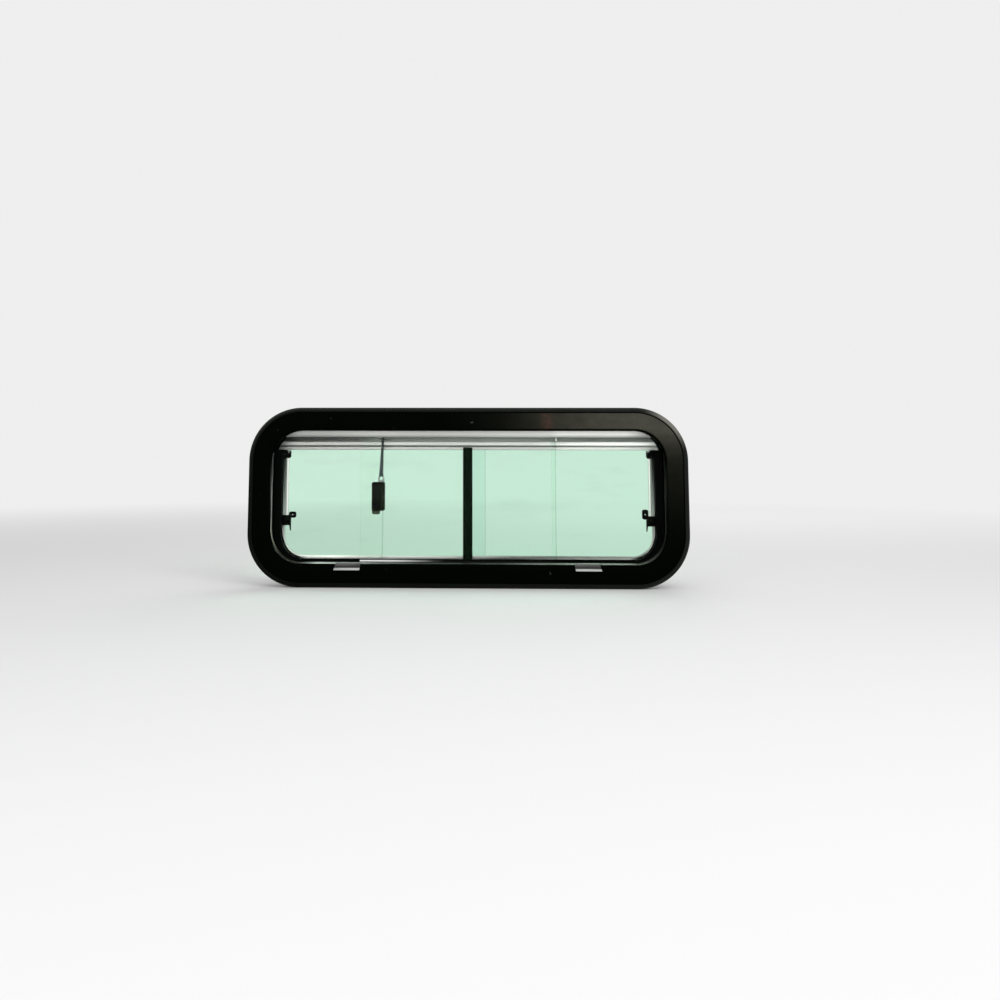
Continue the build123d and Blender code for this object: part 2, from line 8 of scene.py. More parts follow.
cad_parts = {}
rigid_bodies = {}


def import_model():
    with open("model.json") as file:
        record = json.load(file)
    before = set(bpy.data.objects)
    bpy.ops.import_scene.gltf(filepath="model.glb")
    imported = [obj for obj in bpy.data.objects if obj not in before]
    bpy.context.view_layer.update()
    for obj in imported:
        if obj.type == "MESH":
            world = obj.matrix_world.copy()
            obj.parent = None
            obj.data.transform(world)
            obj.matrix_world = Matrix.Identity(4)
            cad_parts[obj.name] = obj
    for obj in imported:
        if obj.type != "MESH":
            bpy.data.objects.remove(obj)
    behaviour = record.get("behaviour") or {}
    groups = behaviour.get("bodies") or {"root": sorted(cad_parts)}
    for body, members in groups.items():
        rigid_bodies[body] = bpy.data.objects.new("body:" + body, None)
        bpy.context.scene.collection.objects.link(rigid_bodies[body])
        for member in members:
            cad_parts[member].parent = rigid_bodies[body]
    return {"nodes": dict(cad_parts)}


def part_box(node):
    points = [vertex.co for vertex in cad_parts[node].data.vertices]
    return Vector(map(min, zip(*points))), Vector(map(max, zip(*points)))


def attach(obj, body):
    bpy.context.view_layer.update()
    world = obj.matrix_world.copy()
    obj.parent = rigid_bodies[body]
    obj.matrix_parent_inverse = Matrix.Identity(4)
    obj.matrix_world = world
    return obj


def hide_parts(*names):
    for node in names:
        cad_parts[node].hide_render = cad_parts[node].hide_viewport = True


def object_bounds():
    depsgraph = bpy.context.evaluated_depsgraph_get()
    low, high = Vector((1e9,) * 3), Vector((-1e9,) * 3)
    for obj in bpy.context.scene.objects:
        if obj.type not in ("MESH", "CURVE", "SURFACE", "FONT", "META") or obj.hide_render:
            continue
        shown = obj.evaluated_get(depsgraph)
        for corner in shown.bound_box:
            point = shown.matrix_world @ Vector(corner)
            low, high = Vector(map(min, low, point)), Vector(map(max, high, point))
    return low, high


bl_info = {
    "name": "Sliding caravan window",
    "version": (1, 0, 0),
    "blender": (4, 5, 0),
    "location": "3D View > Sidebar > Window",
    "description": "Makes the pieces and finishes of a sliding caravan window round its frame",
    "category": "Object",
}

# X runs to the right as seen from outside, Y into the vehicle and Z up, in metres. The origin is
# on the back of the flange, in the middle of its bottom run.
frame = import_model()
cad_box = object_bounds()
MM = 0.001
CENTRE_Z = sum(corner.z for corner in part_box("outer_frame")) / 2

# Sections of the swept pieces, in millimetres outwards from the opening's edge and into the vehicle
FRAME_SECTION = (
    (31, 0), (31, -3.3), (30.3, -4), (2.2, -4), (1.0, -3.6), (0.25, -2.8), (0, -1.8), (0, 60),
    (2.5, 60), (2.5, 5.6), (5.3, 5.6), (5.3, 26), (6.9, 26), (6.9, 5.6), (9.9, 5.6), (9.9, 26),
    (11.5, 26), (11.5, 0), (18, 0), (18, -1.6), (27, -1.6), (27, 0),
)
RIM_SECTION = (
    (31.04, 0), (31.04, -2.2), (31.6, -3.2), (32.1, -4.0), (32.6, -4.3), (33.3, -4.1),
    (34.4, -3.4), (36.6, -2.35), (38.6, -1.6), (39.5, -1.2), (40, -0.7), (40, 0),
)
GASKET_SECTION = ((18.25, 0), (18.25, -1.6), (26.75, -1.6), (26.75, 0), (22.5, 0.0))
LINER_SECTION = (
    (-0.25, 20.5), (-0.25, -0.5), (-0.4, -0.9), (-0.65, -1.0), (-0.95, -0.8), (-1.05, 20.5),
)
LINER_TOP = 76 * MM  # Over the opening's middle

# Small pieces, as two corners in millimetres from the opening's middle
EDGE_STRIP = ((150.2, 23.9, -107.6), (155.2, 24.45, 96.5))
TOP_GUIDE = ((155.0, 23.6, 96.8), (158.3, 29.0, 103.2))
LEFT_STUD = ((-321.4, 35.4, 76.4), (-318.6, 41.5, 80.8))
RIGHT_STUD = ((316.8, 35.5, 77.3), (321.8, 41.5, 79.0))

# Grip ribs on the latch lever's back, in millimetres from its lower end, sides and face
RIB_START = 4
RIB_PITCH = 2.6
RIB_HEIGHT = 1.2
RIB_INSET = 2.2
RIB_SUNK = 0.2
RIB_RISE = 0.9

# Pivot pin, below the lever's upper end
PIN_RADIUS = 3.1 * MM
PIN_LENGTH = 1.5 * MM
PIN_DROP = 6.5 * MM
PIN_EASE = 0.55 * MM

# Where panes end along X, in metres
LEFT_PANE_END = -0.1508
SLIDING_PANE_END = 0.1551
INNER_PANE_END = 0.0312
LAP_END = 0.032

# Clamping screws, with their heads on the back of the ring
RING_BACK = 30.6 * MM
SCREW_OUT = 8.4 * MM  # Outwards from the opening's edge
SCREW_MARGIN = 30 * MM  # Between the last screw of a row and the corner
SCREW_TURN = 0.7  # From one screw to the next, in radians
HEAD_HEIGHT = 2.4 * MM
HEAD_CROWN = 1.1 * MM
RECESS_REACH = 1.25  # Times the head's radius
RECESS_WIDTH = 0.95 * MM
RECESS_DEPTH = 1.3 * MM
SHANK_RADIUS = 1.75 * MM
SHANK_LENGTH = 20 * MM
SHANK_SUNK = 0.2 * MM  # Into the head
SHANK_EASE = 0.5 * MM

# Stage, with the camera's turn as the rows of a matrix
FLOOR_RADIUS = 9
FLOOR_GAP = 0.4 * MM
BACKDROP = (0.86, 0.86, 0.86, 1)
LAMPS = (  # Name, place, size and power
    ("key", (1.1, -2.0, 1.6), 1.6, 28), ("fill", (-0.9, -2.5, 0.8), 1.8, 24),
    ("overhead", (0.0, 0.2, 2.6), 2.2, 16), ("back", (0.9, 2.2, 1.5), 1.8, 18),
)
CAMERA_PLACE = (30.9 * MM, -1.751, CENTRE_Z + 81.3 * MM)
CAMERA_TURN = (
    (0.99955, 0.00199, 0.0299), (0.02993, -0.11673, -0.99271), (0.00151, 0.99316, -0.11674))
LENS = 35.82
SENSOR = 36
LENS_SHIFT = (0.045, -0.167)


class WindowSizes(bpy.types.PropertyGroup):
    opening_width: FloatProperty(
        name="Opening width", description="Clear width of the frame's opening",
        default=0.686, unit="LENGTH")
    opening_height: FloatProperty(
        name="Opening height", description="Clear height of the frame's opening",
        default=0.230, unit="LENGTH")
    opening_radius: FloatProperty(
        name="Opening radius", description="Corner radius of the frame's opening",
        default=0.052, unit="LENGTH")
    corner_steps: IntProperty(
        name="Corner steps", description="Faces round each corner of the swept pieces",
        default=28, min=6, max=60)
    edge_soft: FloatProperty(
        name="Soft edge", description="Rounding on the frame's sharp edges",
        default=0.0003, unit="LENGTH")
    screw_head: FloatProperty(
        name="Screw head", description="Diameter of the clamping screws' heads",
        default=0.0072, unit="LENGTH")
    grip_ribs: IntProperty(
        name="Grip ribs", description="Ribs on the latch lever's thumb pad",
        default=6, min=2, max=12)


class WindowColours(bpy.types.PropertyGroup):
    coat: FloatVectorProperty(
        name="Frame coat", description="Matt black of the frame",
        default=(0.0004, 0.0010, 0.0004), size=3, subtype="COLOR")
    # This dull colour stands for sun-dulled coat and for a painted reflected sheen.
    fade_and_sheen: FloatVectorProperty(
        name="Faded coat", description="Where sun and hands have dulled the coat",
        default=(0.060, 0.058, 0.046), size=3, subtype="COLOR")
    rubber: FloatVectorProperty(
        name="Rim rubber", description="Grey black of the weathered rim",
        default=(0.0022, 0.0032, 0.0024), size=3, subtype="COLOR")
    silver: FloatVectorProperty(
        name="Drawn silver", description="Anodised rails and liner",
        default=(0.80, 0.81, 0.775), size=3, subtype="COLOR")
    glass_tint: FloatVectorProperty(
        name="Front glass tint", description="The faint tint of the thick front panes",
        default=(0.965, 0.995, 0.972), size=3, subtype="COLOR")
    screen_tint: FloatVectorProperty(
        name="Inner glass tint", description="Green of the thinner inner panes",
        default=(0.685, 0.955, 0.795), size=3, subtype="COLOR")


# Modelling helpers
def deselect():
    """Nothing selected, in object mode."""
    if bpy.context.object and bpy.context.object.mode != "OBJECT":
        bpy.ops.object.mode_set(mode="OBJECT")
    bpy.ops.object.select_all(action="DESELECT")


def only(*pieces):
    """Select just these pieces, the first one active."""
    deselect()
    for piece in pieces:
        piece.select_set(True)
    bpy.context.view_layer.objects.active = pieces[0]


def apply_place(piece):
    only(piece)
    bpy.ops.object.transform_apply(location=True, rotation=True, scale=True)


def apply_modifiers(piece):
    only(piece)
    for modifier in list(piece.modifiers):
        bpy.ops.object.modifier_apply(modifier=modifier.name)


def soften(piece, width, segments):
    """Round every edge sharper than 28 degrees."""
    bevel = piece.modifiers.new("soft edges", "BEVEL")
    bevel.width = width
    bevel.segments = segments
    bevel.limit_method = "ANGLE"
    bevel.angle_limit = math.radians(28)
    bevel.use_clamp_overlap = True
    bevel.harden_normals = False
    apply_modifiers(piece)


def smooth(piece, angle=32):
    only(piece)
    bpy.ops.object.shade_smooth_by_angle(angle=math.radians(angle))


def finish_piece(piece, name, slot, material, *nodes):
    """Name a piece, give it its finish and let it stand for the CAD nodes it covers."""
    piece.name = name
    piece.data.name = name
    piece.data.materials.clear()
    piece.data.materials.append(material)
    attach(piece, "root")
    if nodes:
        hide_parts(*nodes)
    return piece


def block(low, high, ease, segments):
    """A soft-edged box between two corners, in millimetres from the opening's middle."""
    deselect()
    size = [(b - a) * MM for a, b in zip(low, high)]
    middle = [(a + b) / 2 * MM for a, b in zip(low, high)]
    bpy.ops.mesh.primitive_cube_add(size=1, location=(middle[0], middle[1], middle[2] + CENTRE_Z))
    piece = bpy.context.object
    piece.scale = size
    apply_place(piece)
    soften(piece, ease * MM, segments)
    smooth(piece)
    return piece


def cylinder(vertices, radius, depth, place):
    """A cylinder along Y."""
    deselect()
    bpy.ops.mesh.primitive_cylinder_add(
        vertices=vertices, radius=radius, depth=depth, rotation=(-math.pi / 2, 0, 0),
        location=place)
    piece = bpy.context.object
    apply_place(piece)
    return piece


def swept_ring(section):
    """A closed section swept round the opening."""
    sizes = bpy.context.scene.window_sizes
    deselect()
    bpy.ops.mesh.primitive_plane_add(size=1, location=(0, 0, 0))
    path = bpy.context.object
    path.scale = (sizes.opening_width, sizes.opening_height, 1)
    apply_place(path)
    bpy.ops.object.mode_set(mode="EDIT")
    bpy.ops.mesh.select_all(action="SELECT")
    bpy.ops.mesh.bevel(
        offset=sizes.opening_radius, segments=sizes.corner_steps, affect="VERTICES")
    bpy.ops.mesh.select_all(action="SELECT")
    bpy.ops.mesh.delete(type="ONLY_FACE")
    bpy.ops.object.mode_set(mode="OBJECT")
    bpy.ops.object.convert(target="CURVE")
    path = bpy.context.object
    path.data.dimensions = "3D"
    path.data.twist_mode = "Z_UP"
    path.data.fill_mode = "FULL"
    shape = bpy.data.curves.new("section", "CURVE")
    line = shape.splines.new("POLY")
    line.points.add(len(section) - 1)
    for point, (out, depth) in zip(line.points, section):
        point.co = (out * MM, -depth * MM, 0, 1)
    line.use_cyclic_u = True
    section_object = bpy.data.objects.new("section", shape)
    bpy.context.scene.collection.objects.link(section_object)
    path.data.bevel_mode = "OBJECT"
    path.data.bevel_object = section_object
    only(path)
    bpy.ops.object.convert(target="MESH")
    ring = bpy.context.object
    bpy.data.objects.remove(section_object)
    bpy.ops.object.mode_set(mode="EDIT")
    bpy.ops.mesh.select_all(action="SELECT")
    bpy.ops.mesh.remove_doubles(threshold=1e-6)
    bpy.ops.mesh.normals_make_consistent(inside=False)
    bpy.ops.object.mode_set(mode="OBJECT")
    ring.rotation_euler = (math.pi / 2, 0, 0)
    ring.location = (0, 0, CENTRE_Z)
    apply_place(ring)
    return ring


def cut_away(piece, place, direction):
    """Cut a piece at a plane and close it, dropping the side that the direction points to."""
    only(piece)
    bpy.ops.object.mode_set(mode="EDIT")
    bpy.ops.mesh.select_all(action="SELECT")
    bpy.ops.mesh.bisect(plane_co=place, plane_no=direction, use_fill=True, clear_outer=True)
    bpy.ops.object.mode_set(mode="OBJECT")


def eased_piece(node, width, segments, name, slot, material):
    """A finished copy of a CAD node, merged, with its edges rounded by a width in millimetres."""
    only(frame["nodes"][node])
    bpy.ops.object.duplicate()
    piece = bpy.context.object
    for key in [key for key in piece.keys() if key.startswith("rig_")]:
        del piece[key]
    bpy.ops.object.parent_clear(type="CLEAR_KEEP_TRANSFORM")
    bpy.ops.mesh.customdata_custom_splitnormals_clear()
    bpy.ops.object.mode_set(mode="EDIT")
    bpy.ops.mesh.select_all(action="SELECT")
    bpy.ops.mesh.remove_doubles(threshold=2e-6)
    bpy.ops.mesh.dissolve_limited(angle_limit=math.radians(0.5))
    bpy.ops.mesh.normals_make_consistent(inside=False)
    bpy.ops.object.mode_set(mode="OBJECT")
    soften(piece, width * MM, segments)
    smooth(piece)
    return finish_piece(piece, name, slot, material, node)


def add_pane(node, width, name, slot, glass, edge):
    """A pane: glass on its two faces and a ground edge round it."""
    piece = eased_piece(node, width, 1, name, slot, glass)
    piece.data.materials.append(edge)
    for face in piece.data.polygons:
        face.material_index = 0 if abs(face.normal.y) > 0.6 else 1


def join(*pieces):
    only(*pieces)
    bpy.ops.object.join()
    return bpy.context.object


# Material helpers
def new_finish(name, base, roughness, metallic=0.0, specular=0.5):
    material = bpy.data.materials.new(name)
    material.use_nodes = True
    shader = material.node_tree.nodes["Principled BSDF"]
    shader.inputs["Base Color"].default_value = (*base, 1)
    shader.inputs["Roughness"].default_value = roughness
    shader.inputs["Metallic"].default_value = metallic
    shader.inputs["Specular IOR Level"].default_value = specular
    return material, material.node_tree, shader


def pattern(tree, scale, detail=4.0, rough=0.55, stretch=(1, 1, 1), move=(0, 0, 0)):
    """A noise over the object's own coordinates, in metres."""
    coordinates = tree.nodes.new("ShaderNodeTexCoord")
    mapping = tree.nodes.new("ShaderNodeMapping")
    mapping.inputs["Scale"].default_value = stretch
    mapping.inputs["Location"].default_value = move
    noise = tree.nodes.new("ShaderNodeTexNoise")
    noise.inputs["Scale"].default_value = scale
    noise.inputs["Detail"].default_value = detail
    noise.inputs["Roughness"].default_value = rough
    tree.links.new(coordinates.outputs["Object"], mapping.inputs["Vector"])
    tree.links.new(mapping.outputs["Vector"], noise.inputs["Vector"])
    return noise.outputs["Fac"]


def axis_value(tree, axis):
    coordinates = tree.nodes.new("ShaderNodeTexCoord")
    split = tree.nodes.new("ShaderNodeSeparateXYZ")
    tree.links.new(coordinates.outputs["Object"], split.inputs["Vector"])
    return split.outputs[axis]


def from_opening(tree):
    """How far a point lies outwards from the opening's edge, in metres, round corners too."""
    sizes = bpy.context.scene.window_sizes
    reach = []
    for axis, middle, half in (
        ("X", 0.0, sizes.opening_width / 2), ("Z", CENTRE_Z, sizes.opening_height / 2)):
        away = distance(tree, axis_value(tree, axis), middle)
        reach.append(combine(
            tree, "MAXIMUM", combine(tree, "SUBTRACT", away, half - sizes.opening_radius), 0))
    return combine(tree, "SUBTRACT", length(tree, *reach), sizes.opening_radius)


def from_middle(tree):
    """Height over the opening's middle."""
    return combine(tree, "SUBTRACT", axis_value(tree, "Z"), CENTRE_Z)


def ramp(tree, value, *stops):
    """Greys along a value, given as places in rising order with their brightness."""
    node = tree.nodes.new("ShaderNodeValToRGB")
    low, high = stops[0][0], stops[-1][0]
    elements = node.color_ramp.elements
    for place, grey in stops[1:-1]:
        elements.new((place - low) / (high - low))
    for element, (place, grey) in zip(elements, stops):
        element.color = (grey, grey, grey, 1)
    tree.links.new(remap(tree, value, low, high), node.inputs["Fac"])
    return node.outputs["Color"]


def remap(tree, value, low, high, out_low=0.0, out_high=1.0, soft=False):
    node = tree.nodes.new("ShaderNodeMapRange")
    node.interpolation_type = "SMOOTHSTEP" if soft else "LINEAR"
    node.clamp = True
    tree.links.new(value, node.inputs["Value"])
    for socket, number in (
        ("From Min", low), ("From Max", high), ("To Min", out_low), ("To Max", out_high)):
        node.inputs[socket].default_value = number
    return node.outputs["Result"]


def feed(tree, socket, value):
    """Wire another node's output to a socket, or set a plain number or colour on it."""
    if isinstance(value, bpy.types.NodeSocket):
        tree.links.new(value, socket)
    else:
        socket.default_value = (*value, 1) if socket.type == "RGBA" else value


def combine(tree, kind, first, second):
    node = tree.nodes.new("ShaderNodeMath")
    node.operation = kind
    feed(tree, node.inputs[0], first)
    feed(tree, node.inputs[1], second)
    return node.outputs["Value"]


def times(tree, first, *others):
    """The product of values and plain numbers."""
    for value in others:
        first = combine(tree, "MULTIPLY", first, value)
    return first


def less(tree, value):
    """One less a value."""
    return combine(tree, "SUBTRACT", 1.0, value)


def distance(tree, value, place):
    """How far a value lies from a place, to either side."""
    return combine(tree, "ABSOLUTE", combine(tree, "SUBTRACT", value, place), 0)


def length(tree, *pair):
    """The length of the vector that two values make."""
    squares = [combine(tree, "MULTIPLY", value, value) for value in pair]
    return combine(tree, "SQRT", combine(tree, "ADD", *squares), 0)


def blend_colour(tree, share, first, second, kind="MIX"):
    node = tree.nodes.new("ShaderNodeMix")
    node.data_type = "RGBA"
    node.blend_type = kind
    feed(tree, node.inputs["Factor"], share)
    sockets = [socket for socket in node.inputs if socket.type == "RGBA"]
    feed(tree, sockets[0], first)
    feed(tree, sockets[1], second)
    return [socket for socket in node.outputs if socket.type == "RGBA"][0]


def coloured(tree, shader, colour):
    tree.links.new(colour, shader.inputs["Base Color"])


def roughened(tree, shader, noise, low, high):
    """Roughness between two levels, by a noise."""
    tree.links.new(remap(tree, noise, 0.3, 0.7, low, high), shader.inputs["Roughness"])


def mixed(tree, share, first, second, output):
    """Two shaders mixed by a share and wired to the output node of that name."""
    mixer = tree.nodes.new("ShaderNodeMixShader")
    tree.links.new(share, mixer.inputs["Fac"])
    tree.links.new(first, mixer.inputs[1])
    tree.links.new(second, mixer.inputs[2])
    tree.links.new(mixer.outputs["Shader"], tree.nodes[output].inputs["Surface"])


def seen_rays(tree):
    """One for the rays that show the backdrop: from the camera, mirrored or through glass."""
    rays = tree.nodes.new("ShaderNodeLightPath")
    seen = combine(tree, "MAXIMUM", rays.outputs["Is Camera Ray"], rays.outputs["Is Glossy Ray"])
    return combine(tree, "MAXIMUM", seen, rays.outputs["Is Transmission Ray"])


def bumped(tree, shader, height, depth, strength):
    bump = tree.nodes.new("ShaderNodeBump")
    bump.inputs["Distance"].default_value = depth
    bump.inputs["Strength"].default_value = strength
    tree.links.new(height, bump.inputs["Height"])
    tree.links.new(bump.outputs["Normal"], shader.inputs["Normal"])


# Finishes
def powder_coat():
    """Matt black coat, sun-dulled and painted with a reflected sheen along the top right, with a
    rubbed brown smudge and small scuffs, and painted shade at its edges by the rim and the opening.
    """
    colours = bpy.context.scene.window_colours
    material, tree, shader = new_finish("powder coat", colours.coat, 0.5, specular=0.006)
    x = axis_value(tree, "X")
    z = from_middle(tree)
    # Painted reflection: this dulling along the top right is partly a sheen painted into the coat,
    # partly sun-dulled coat.
    across = ramp(
        tree, x, (-0.04, 0.0), (0.022, 0.028), (0.057, 0.058), (0.092, 0.14), (0.127, 0.32),
        (0.162, 0.50), (0.231, 0.80), (0.30, 0.97))
    height = ramp(
        tree, z, (-0.10, 0.002), (-0.062, 0.008), (-0.03, 0.035), (0, 0.068), (0.039, 0.115),
        (0.065, 0.19), (0.091, 0.46), (0.118, 1.0))
    front = remap(tree, axis_value(tree, "Y"), 0.004, -0.002)
    cloud = remap(tree, pattern(tree, 38, 6, 0.62, (1, 1, 1.6)), 0.30, 0.72, 0.78, 1.14)
    dull = times(tree, across, height, cloud, front)
    base = blend_colour(tree, dull, colours.coat, colours.fade_and_sheen)
    smudge = times(
        tree, remap(tree, distance(tree, x, 0.139), 0.016, 0.002, soft=True),
        remap(tree, pattern(tree, 90, 5, 0.7), 0.35, 0.7), remap(tree, z, 0.10, 0.12, 0.0, 0.75))
    base = blend_colour(tree, smudge, base, (0.075, 0.036, 0.026))
    scuffs = pattern(tree, 240, 3, 0.5, (1, 1, 2.2), (0.3, 0, 0.1))
    scuffs = remap(tree, scuffs, 0.71, 0.76, 0.0, 0.55)
    base = blend_colour(tree, scuffs, base, (0.004, 0.004, 0.004))
    out = from_opening(tree)
    chips = remap(tree, pattern(tree, 130, 2, 0.4, (1, 1, 1), (0.7, 0.2, 0.4)), 0.775, 0.79)
    chips = times(tree, chips, remap(tree, out, 0.027, 0.025, 0.0, 0.35))
    base = blend_colour(tree, chips, base, (0.11, 0.12, 0.11))
    # Painted shade: the coat is kept at its darkest in the groove by the rim and on the chamfer
    # into the opening.
    edge = combine(
        tree, "MAXIMUM", remap(tree, out, 0.0300, 0.0308),
        remap(tree, out, 0.0046, 0.0018, soft=True))
    base = blend_colour(tree, edge, base, colours.coat)
    side = remap(tree, distance(tree, x, 0), 0.326, 0.336)
    height = ramp(
        tree, z, (-0.035, 0.0), (-0.01, 0.4), (0.012, 1.0), (0.04, 0.6), (0.06, 0.0))
    worn = times(
        tree, remap(tree, out, 0.0014, 0.0007), remap(tree, out, -0.0004, -0.0001), side, front,
        height)
    # Bare metal where the coat is worn through at the opening's edge, painted darker towards the
    # right as painted shade.
    metal = blend_colour(
        tree, remap(tree, x, -0.3, 0.3), (0.055, 0.052, 0.044), (0.020, 0.022, 0.019))
    coloured(tree, shader, blend_colour(tree, worn, base, metal))
    roughened(tree, shader, pattern(tree, 60, 5), 0.46, 0.62)
    bumped(tree, shader, pattern(tree, 1500, 2, 0.5), 0.00006, 0.5)
    return material


def rim_rubber():
    """Weathered rubber, dusty towards its outer edge, there painted lighter on top and to the
    right, with a painted highlight on the upper right corner and painted shade in the groove beside
    the flange.
    """
    colours = bpy.context.scene.window_colours
    material, tree, shader = new_finish("rim rubber", colours.rubber, 0.62, specular=0.03)
    x = axis_value(tree, "X")
    z = from_middle(tree)
    out = from_opening(tree)
    # Painted light: the dust at the outer edge is lighter on top and to the right, where light
    # falls.
    outer = combine(tree, "POWER", remap(tree, out, 0.0325, 0.0400), 2.2)
    up = remap(tree, z, -0.02, 0.15, soft=True)
    right = ramp(tree, x, (-0.39, 0.05), (-0.1, 0.12), (0.2, 0.4), (0.35, 0.62))
    dust = times(tree, outer, combine(tree, "MAXIMUM", up, right))
    dust = combine(tree, "MAXIMUM", dust, times(tree, right, 0.30))
    dust = times(tree, dust, remap(tree, pattern(tree, 22, 6, 0.65), 0.3, 0.75, 0.7, 1.05))
    base = blend_colour(tree, dust, colours.rubber, (0.056, 0.058, 0.052))
    # Painted highlight on the upper right corner.
    from_corner = length(
        tree, combine(tree, "SUBTRACT", x, 0.353), combine(tree, "SUBTRACT", z, 0.128))
    corner_highlight = times(
        tree, remap(tree, from_corner, 0.055, 0.008, soft=True),
        remap(tree, out, 0.0322, 0.0345, 0.0, 0.95))
    base = blend_colour(tree, corner_highlight, base, (0.17, 0.166, 0.145))
    # Painted shade in the groove beside the flange.
    groove = remap(tree, out, 0.0327, 0.0321)
    coloured(tree, shader, blend_colour(tree, groove, base, (0.0008, 0.0009, 0.0008)))
    roughened(tree, shader, pattern(tree, 90, 5), 0.5, 0.72)
    bumped(tree, shader, pattern(tree, 900, 3, 0.6), 0.00008, 0.6)
    return material


def drawn_silver(name, tint=1.0, along=True, dirt=0.25, roughness=0.34, tone=None):
    """Anodised aluminium with fine draw lines, a little uneven and dirty. The tone is made by a
    function of the node tree and paints light and shade into the metal, with some grime."""
    silver = bpy.context.scene.window_colours.silver
    bright = tuple(min(1.0, value * tint) for value in silver)
    dull = tuple(value * share for value, share in zip(bright, (0.52, 0.5252, 0.4836)))
    material, tree, shader = new_finish(name, bright, roughness, metallic=0.45)
    draw, drift = ((0.002, 1, 1), (0.4, 2, 6)) if along else ((1, 1, 1), (1, 2, 2.5))
    lines = pattern(tree, 1800, 3, 0.6, draw)
    cloud = remap(tree, pattern(tree, 16, 6, 0.6, drift), 0.34, 0.74, 0.0, dirt)
    base = blend_colour(tree, cloud, bright, dull)
    spots = pattern(tree, 210, 2, 0.5, (0.6, 1, 1), (0.1, 0.5, 0.9))
    spots = remap(tree, spots, 0.72, 0.77, 0.0, 0.5 * dirt + 0.1)
    base = blend_colour(tree, spots, base, (0.22, 0.21, 0.17))
    if tone:
        shade = tone(tree)
        base = blend_colour(tree, 1.0, base, shade, "MULTIPLY")
        tree.links.new(times(tree, shade, 0.5), shader.inputs["Specular IOR Level"])
    coloured(tree, shader, base)
    roughened(tree, shader, lines, roughness - 0.06, roughness + 0.10)
    bumped(tree, shader, lines, 0.00003, 0.5)
    return material


def liner_tone(tree):
    """Painted light and shade on the liner, with a little grime: darker along X where shade falls.
    At the sides only a band near its front edge is left lit, deeper in the lower corners, with a
    painted highlight in the lower left corner; it's tan low on the left and at its right end, and
    it's painted darker towards the head."""
    x = axis_value(tree, "X")
    z = from_middle(tree)
    # Painted shade and light along X.
    along = ramp(
        tree, x, (-0.343, 0.55), (-0.338, 0.42), (-0.329, 0.11), (-0.321, 0.05), (-0.300, 0.045),
        (-0.292, 0.045), (-0.282, 0.10), (-0.272, 0.42), (-0.262, 0.95), (-0.24, 0.76),
        (-0.18, 0.26), (-0.15, 0.09), (-0.08, 0.03), (0.055, 0.035), (0.09, 0.11), (0.125, 0.21),
        (0.18, 0.21), (0.22, 0.235), (0.264, 0.22), (0.29, 0.10), (0.325, 0.12), (0.338, 0.060),
        (0.345, 0.058))
    shift = combine(
        tree, "ADD", remap(tree, z, -0.055, -0.080, -0.0022, 0.0065),
        remap(tree, z, 0.020, 0.035, 0.0, 0.0022))
    depth = combine(tree, "SUBTRACT", axis_value(tree, "Y"), shift)
    up = ramp(tree, z, (-0.02, 1.0), (0.012, 0.95), (0.046, 0.42), (0.070, 0.28))
    # Painted shade at the sides, all but a band near the front edge.
    shown = times(
        tree, remap(tree, depth, -0.0012, -0.0006), remap(tree, depth, 0.0088, 0.0068), up)
    side = remap(tree, distance(tree, x, 0), 0.310, 0.338)
    side_shade = times(tree, side, less(tree, shown))
    # Painted highlight in the lower left corner.
    rubbed = times(
        tree, remap(tree, z, -0.030, -0.072), remap(tree, z, -0.094, -0.080),
        remap(tree, x, -0.310, -0.336, 0.0, 0.8))
    tone = times(tree, along, less(tree, side_shade), combine(tree, "ADD", 1.0, rubbed))
    tan = blend_colour(tree, remap(tree, z, -0.03, -0.07), (1, 1, 1), (1.0, 0.94, 0.78))
    tan = blend_colour(tree, remap(tree, x, -0.300, -0.275), tan, (1, 1, 1))
    tan = blend_colour(tree, remap(tree, x, 0.25, 0.29), tan, (1.0, 0.97, 0.85))
    return blend_colour(tree, 1.0, tan, tone, "MULTIPLY")


def rim_tone(tree):
    """Painted light and shade on the inner rim: a painted sheen, bright at the sill's left, dull to
    the right and fading up the sides, and painted shade along its outer half at the sides and
    corners."""
    x = axis_value(tree, "X")
    z = from_middle(tree)
    wide = distance(tree, x, 0)
    sill = ramp(
        tree, x, (-0.33, 0.60), (-0.30, 0.80), (-0.24, 1.0), (-0.18, 0.66), (-0.08, 0.64),
        (0.02, 0.36), (0.08, 0.20), (0.15, 0.24), (0.23, 0.34), (0.29, 0.40), (0.335, 0.52))
    left = ramp(tree, z, (-0.1098, 0.35), (-0.1078, 0.62), (-0.1062, 1.0), (-0.1038, 0.72))
    right = ramp(tree, z, (-0.1098, 1.0), (-0.1082, 0.86), (-0.1066, 0.62), (-0.1040, 0.44))
    low = blend_colour(tree, remap(tree, x, 0.08, 0.15), left, right)
    up = ramp(
        tree, z, (-0.075, 1.0), (-0.045, 0.92), (-0.022, 0.74), (0.012, 0.36), (0.046, 0.14),
        (0.075, 0.02))
    along = blend_colour(tree, remap(tree, wide, 0.312, 0.320), low, up)
    # Painted shade along its outer half at the sides and corners.
    out = combine(
        tree, "SUBTRACT", from_opening(tree), remap(tree, z, -0.078, -0.104, 0.0, 0.0046))
    outer = times(tree, remap(tree, out, -0.0131, -0.0125), remap(tree, wide, 0.284, 0.300))
    return times(tree, sill, along, less(tree, outer))


